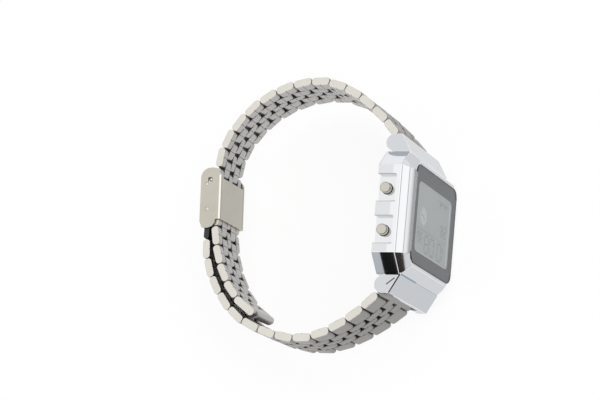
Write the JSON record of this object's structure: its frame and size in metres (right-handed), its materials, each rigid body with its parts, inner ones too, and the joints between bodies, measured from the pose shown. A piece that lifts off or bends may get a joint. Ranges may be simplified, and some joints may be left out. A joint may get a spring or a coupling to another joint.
{
  "type": "digital wristwatch",
  "caption": "Square metal digital wristwatch with a tapering linked bracelet closed by a sliding clasp with a lift-up cover, and push buttons in recesses along both sides.",
  "frame": {"origin": "middle of the case back's outer face, at the wrist side of the case", "axes": "+Z towards the 3 o'clock side, which is up as the watch lies on its side; +X towards the 6 o'clock end of the case; -Y out of the face, so +Y points into the wrist"},
  "size_m": [0.0668, 0.0607, 0.035],
  "materials": {
    "chrome": "polished",
    "band": "satin",
    "clasp": "satin",
    "spring_steel": "plain",
    "glass": "polished",
    "mask": "printed",
    "display": "satin",
    "light": "matt",
    "plastic": "matt",
    "board": "matt",
    "battery": "plain",
    "back": "satin",
    "gasket": "matt"
  },
  "bodies": {
    "case": {"case": "chrome", "crystal": "glass", "dial_frame": "mask", "lcd_panel": "display", "light_panel": "light", "module_frame": "plastic", "circuit_board": "board", "battery": "battery", "battery_clamp": "spring_steel", "case_back": "back", "back_gasket": "gasket", "spring_bar_6": "spring_steel", "spring_bar_12": "spring_steel"},
    "end_link_6": {"end_link_6": "band"},
    "end_link_12": {"end_link_12": "band"},
    "upper_link_01": {"upper_link_01": "band"},
    "upper_link_02": {"upper_link_02": "band"},
    "upper_link_03": {"upper_link_03": "band"},
    "upper_link_04": {"upper_link_04": "band"},
    "upper_link_05": {"upper_link_05": "band"},
    "upper_link_06": {"upper_link_06": "band"},
    "upper_link_07": {"upper_link_07": "band"},
    "upper_link_08": {"upper_link_08": "band"},
    "upper_link_09": {"upper_link_09": "band"},
    "upper_link_10": {"upper_link_10": "band"},
    "upper_link_11": {"upper_link_11": "band"},
    "upper_link_12": {"upper_link_12": "band"},
    "upper_link_13": {"upper_link_13": "band"},
    "lower_link_01": {"lower_link_01": "band"},
    "lower_link_02": {"lower_link_02": "band"},
    "lower_link_03": {"lower_link_03": "band"},
    "lower_link_04": {"lower_link_04": "band"},
    "lower_link_05": {"lower_link_05": "band"},
    "lower_link_06": {"lower_link_06": "band"},
    "lower_link_07": {"lower_link_07": "band"},
    "lower_link_08": {"lower_link_08": "band"},
    "lower_link_09": {"lower_link_09": "band"},
    "lower_link_10": {"lower_link_10": "band"},
    "lower_link_11": {"lower_link_11": "band"},
    "lower_link_12": {"lower_link_12": "band"},
    "lower_link_13": {"lower_link_13": "band"},
    "clasp_link": {"clasp_link": "clasp"},
    "clasp_body": {"clasp_body": "clasp", "clasp_pins": "spring_steel", "upper_link_14": "band", "upper_link_15": "band", "upper_link_16": "band"},
    "clasp_cover": {"clasp_cover": "clasp"},
    "lock_bar": {"lock_bar": "spring_steel"},
    "upper_link_17": {"upper_link_17": "band"},
    "upper_link_18": {"upper_link_18": "band"},
    "upper_link_19": {"upper_link_19": "band"},
    "upper_link_20": {"upper_link_20": "band"},
    "upper_link_21": {"upper_link_21": "band"},
    "button_upper_right": {"button_upper_right": "chrome"},
    "button_lower_right": {"button_lower_right": "chrome"},
    "button_upper_left": {"button_upper_left": "chrome"},
    "button_lower_left": {"button_lower_left": "chrome"}
  },
  "joints": [
    {"name": "clasp_cover_hinge", "type": "hinge", "parent": "clasp_body", "child": "clasp_cover", "pos_m": [0.00895, 0.04997, 0], "axis": [0, 0, -1], "range_deg": [0, 75]},
    {"name": "lock_bar_slide", "type": "slide", "parent": "clasp_body", "child": "lock_bar", "axis": [-0.0698, 0.9976, 0], "range_m": [0, 0.00035], "stiffness_N_per_m": 100, "springref_m": -0.0004},
    {"name": "clasp_body_hinge", "type": "hinge", "parent": "clasp_link", "child": "clasp_body", "pos_m": [0.0026, 0.04908, 0], "axis": [0, 0, 1], "range_deg": [0, 5]},
    {"name": "button_upper_right_press", "type": "slide", "parent": "case", "child": "button_upper_right", "axis": [0, 0, -1], "range_m": [0, 0.0007], "stiffness_N_per_m": 800, "springref_m": -0.0008},
    {"name": "button_lower_right_press", "type": "slide", "parent": "case", "child": "button_lower_right", "axis": [0, 0, -1], "range_m": [0, 0.0007], "stiffness_N_per_m": 800, "springref_m": -0.0008},
    {"name": "button_upper_left_press", "type": "slide", "parent": "case", "child": "button_upper_left", "axis": [0, 0, 1], "range_m": [0, 0.0007], "stiffness_N_per_m": 800, "springref_m": -0.0008},
    {"name": "button_lower_left_press", "type": "slide", "parent": "case", "child": "button_lower_left", "axis": [0, 0, 1], "range_m": [0, 0.0007], "stiffness_N_per_m": 800, "springref_m": -0.0008},
    {"name": "clasp_link_hinge", "type": "hinge", "parent": "lower_link_13", "child": "clasp_link", "pos_m": [-0.0038, 0.04899, 0], "axis": [0, 0, 1], "range_deg": [0, 8.2]},
    {"name": "upper_link_17_hinge", "type": "hinge", "parent": "clasp_body", "child": "upper_link_17", "pos_m": [-0.0028, 0.04675, 0], "axis": [0, 0, 1], "range_deg": [0, 15]},
    {"name": "upper_link_18_hinge", "type": "hinge", "parent": "upper_link_17", "child": "upper_link_18", "pos_m": [-0.00769, 0.04571, 0], "axis": [0, 0, 1], "range_deg": [0, 15]},
    {"name": "upper_link_19_hinge", "type": "hinge", "parent": "upper_link_18", "child": "upper_link_19", "pos_m": [-0.01239, 0.044, 0], "axis": [0, 0, 1], "range_deg": [0, 15]},
    {"name": "upper_link_20_hinge", "type": "hinge", "parent": "upper_link_19", "child": "upper_link_20", "pos_m": [-0.01676, 0.04158, 0], "axis": [0, 0, 1], "range_deg": [0, 15]},
    {"name": "upper_link_21_hinge", "type": "hinge", "parent": "upper_link_20", "child": "upper_link_21", "pos_m": [-0.02059, 0.03836, 0], "axis": [0, 0, 1], "range_deg": [0, 15]},
    {"name": "end_link_6_hinge", "type": "hinge", "parent": "case", "child": "end_link_6", "pos_m": [0.0175, -0.0017, 0], "axis": [0, 0, -1], "range_deg": [0, 18]},
    {"name": "end_link_12_hinge", "type": "hinge", "parent": "case", "child": "end_link_12", "pos_m": [-0.0175, -0.0017, 0], "axis": [0, 0, 1], "range_deg": [0, 49]},
    {"name": "upper_link_01_hinge", "type": "hinge", "parent": "end_link_6", "child": "upper_link_01", "pos_m": [0.02102, -0.00056, 0], "axis": [0, 0, -1], "range_deg": [0, 27.87]},
    {"name": "upper_link_02_hinge", "type": "hinge", "parent": "upper_link_01", "child": "upper_link_02", "pos_m": [0.02468, 0.00284, 0], "axis": [0, 0, -1], "range_deg": [0, 8.88]},
    {"name": "upper_link_03_hinge", "type": "hinge", "parent": "upper_link_02", "child": "upper_link_03", "pos_m": [0.02798, 0.0066, 0], "axis": [0, 0, -1], "range_deg": [0, 7.88]},
    {"name": "upper_link_04_hinge", "type": "hinge", "parent": "upper_link_03", "child": "upper_link_04", "pos_m": [0.03095, 0.01063, 0], "axis": [0, 0, -1], "range_deg": [0, 11.88]},
    {"name": "upper_link_05_hinge", "type": "hinge", "parent": "upper_link_04", "child": "upper_link_05", "pos_m": [0.03326, 0.01506, 0], "axis": [0, 0, -1], "range_deg": [0, 12.88]},
    {"name": "upper_link_06_hinge", "type": "hinge", "parent": "upper_link_05", "child": "upper_link_06", "pos_m": [0.03477, 0.01983, 0], "axis": [0, 0, -1], "range_deg": [0, 19.88]},
    {"name": "upper_link_07_hinge", "type": "hinge", "parent": "upper_link_06", "child": "upper_link_07", "pos_m": [0.03483, 0.02483, 0], "axis": [0, 0, -1], "range_deg": [0, 13.88]},
    {"name": "upper_link_08_hinge", "type": "hinge", "parent": "upper_link_07", "child": "upper_link_08", "pos_m": [0.03396, 0.02975, 0], "axis": [0, 0, -1], "range_deg": [0, 13.88]},
    {"name": "upper_link_09_hinge", "type": "hinge", "parent": "upper_link_08", "child": "upper_link_09", "pos_m": [0.03216, 0.03442, 0], "axis": [0, 0, -1], "range_deg": [0, 13.88]},
    {"name": "upper_link_10_hinge", "type": "hinge", "parent": "upper_link_09", "child": "upper_link_10", "pos_m": [0.02952, 0.03866, 0], "axis": [0, 0, -1], "range_deg": [0, 14.88]},
    {"name": "upper_link_11_hinge", "type": "hinge", "parent": "upper_link_10", "child": "upper_link_11", "pos_m": [0.02607, 0.04228, 0], "axis": [0, 0, -1], "range_deg": [0, 12.88]},
    {"name": "upper_link_12_hinge", "type": "hinge", "parent": "upper_link_11", "child": "upper_link_12", "pos_m": [0.02204, 0.04524, 0], "axis": [0, 0, -1], "range_deg": [0, 16.88]},
    {"name": "upper_link_13_hinge", "type": "hinge", "parent": "upper_link_12", "child": "upper_link_13", "pos_m": [0.01742, 0.04715, 0], "axis": [0, 0, -1], "range_deg": [0, 17.88]},
    {"name": "lower_link_01_hinge", "type": "hinge", "parent": "end_link_12", "child": "lower_link_01", "pos_m": [-0.01993, 0.00109, 0], "axis": [0, 0, 1], "range_deg": [0, 4]},
    {"name": "lower_link_02_hinge", "type": "hinge", "parent": "lower_link_01", "child": "lower_link_02", "pos_m": [-0.02314, 0.00492, 0], "axis": [0, 0, 1], "range_deg": [0, 9]},
    {"name": "lower_link_03_hinge", "type": "hinge", "parent": "lower_link_02", "child": "lower_link_03", "pos_m": [-0.02594, 0.00907, 0], "axis": [0, 0, 1], "range_deg": [0, 10]},
    {"name": "lower_link_04_hinge", "type": "hinge", "parent": "lower_link_03", "child": "lower_link_04", "pos_m": [-0.02821, 0.01352, 0], "axis": [0, 0, 1], "range_deg": [0, 13]},
    {"name": "lower_link_05_hinge", "type": "hinge", "parent": "lower_link_04", "child": "lower_link_05", "pos_m": [-0.02967, 0.0183, 0], "axis": [0, 0, 1], "range_deg": [0, 19]},
    {"name": "lower_link_06_hinge", "type": "hinge", "parent": "lower_link_05", "child": "lower_link_06", "pos_m": [-0.02976, 0.0233, 0], "axis": [0, 0, 1], "range_deg": [0, 15]},
    {"name": "lower_link_07_hinge", "type": "hinge", "parent": "lower_link_06", "child": "lower_link_07", "pos_m": [-0.0288, 0.02821, 0], "axis": [0, 0, 1], "range_deg": [0, 11]},
    {"name": "lower_link_08_hinge", "type": "hinge", "parent": "lower_link_07", "child": "lower_link_08", "pos_m": [-0.02717, 0.03294, 0], "axis": [0, 0, 1], "range_deg": [0, 10]},
    {"name": "lower_link_09_hinge", "type": "hinge", "parent": "lower_link_08", "child": "lower_link_09", "pos_m": [-0.02498, 0.03743, 0], "axis": [0, 0, 1], "range_deg": [0, 17]},
    {"name": "lower_link_10_hinge", "type": "hinge", "parent": "lower_link_09", "child": "lower_link_10", "pos_m": [-0.02177, 0.04126, 0], "axis": [0, 0, 1], "range_deg": [0, 15]},
    {"name": "lower_link_11_hinge", "type": "hinge", "parent": "lower_link_10", "child": "lower_link_11", "pos_m": [-0.01783, 0.04434, 0], "axis": [0, 0, 1], "range_deg": [0, 11]},
    {"name": "lower_link_12_hinge", "type": "hinge", "parent": "lower_link_11", "child": "lower_link_12", "pos_m": [-0.0135, 0.04684, 0], "axis": [0, 0, 1], "range_deg": [0, 14]},
    {"name": "lower_link_13_hinge", "type": "hinge", "parent": "lower_link_12", "child": "lower_link_13", "pos_m": [-0.00877, 0.04847, 0], "axis": [0, 0, 1], "range_deg": [0, 16]}
  ]
}
